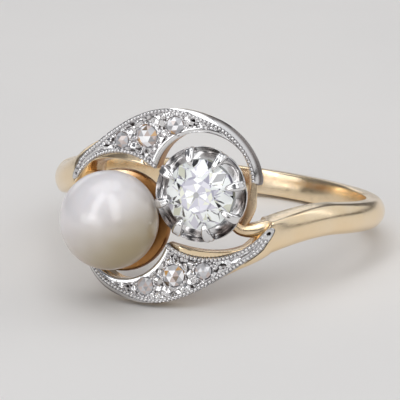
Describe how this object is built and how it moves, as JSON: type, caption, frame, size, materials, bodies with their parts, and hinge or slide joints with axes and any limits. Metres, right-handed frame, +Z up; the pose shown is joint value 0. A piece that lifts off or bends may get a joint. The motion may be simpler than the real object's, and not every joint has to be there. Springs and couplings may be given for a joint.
{
  "type": "toi et moi ring",
  "caption": "Ring lying on its side: yellow gold hoop whose bypass head, edged with platinum swirls of rose-cut diamonds, holds a pearl and an old-cut diamond side by side.",
  "frame": {"origin": "on the ground, at the middle of the ring's bounding box", "axes": "+Z up, +X along the band from the pearl's shoulder to the diamond's shoulder, +Y from the head to the back of the hoop"},
  "size_m": [0.0206, 0.0252, 0.0118],
  "materials": {
    "gold": "polished yellow gold with fine wear",
    "platinum": "polished platinum, milgrained and bright-cut",
    "pearl": "cream pearl lustre",
    "diamond": "faceted, colourless",
    "rose_diamond": "faceted, greyish"
  },
  "bodies": {
    "root": {"shank": "gold", "upper_swirl": "platinum", "lower_swirl": "platinum", "pearl": "pearl", "diamond_collet": "platinum", "diamond": "diamond", "upper_rose_1": "rose_diamond", "upper_rose_2": "rose_diamond", "upper_rose_3": "rose_diamond", "lower_rose_1": "rose_diamond", "lower_rose_2": "rose_diamond", "lower_rose_3": "rose_diamond"}
  },
  "joints": []
}
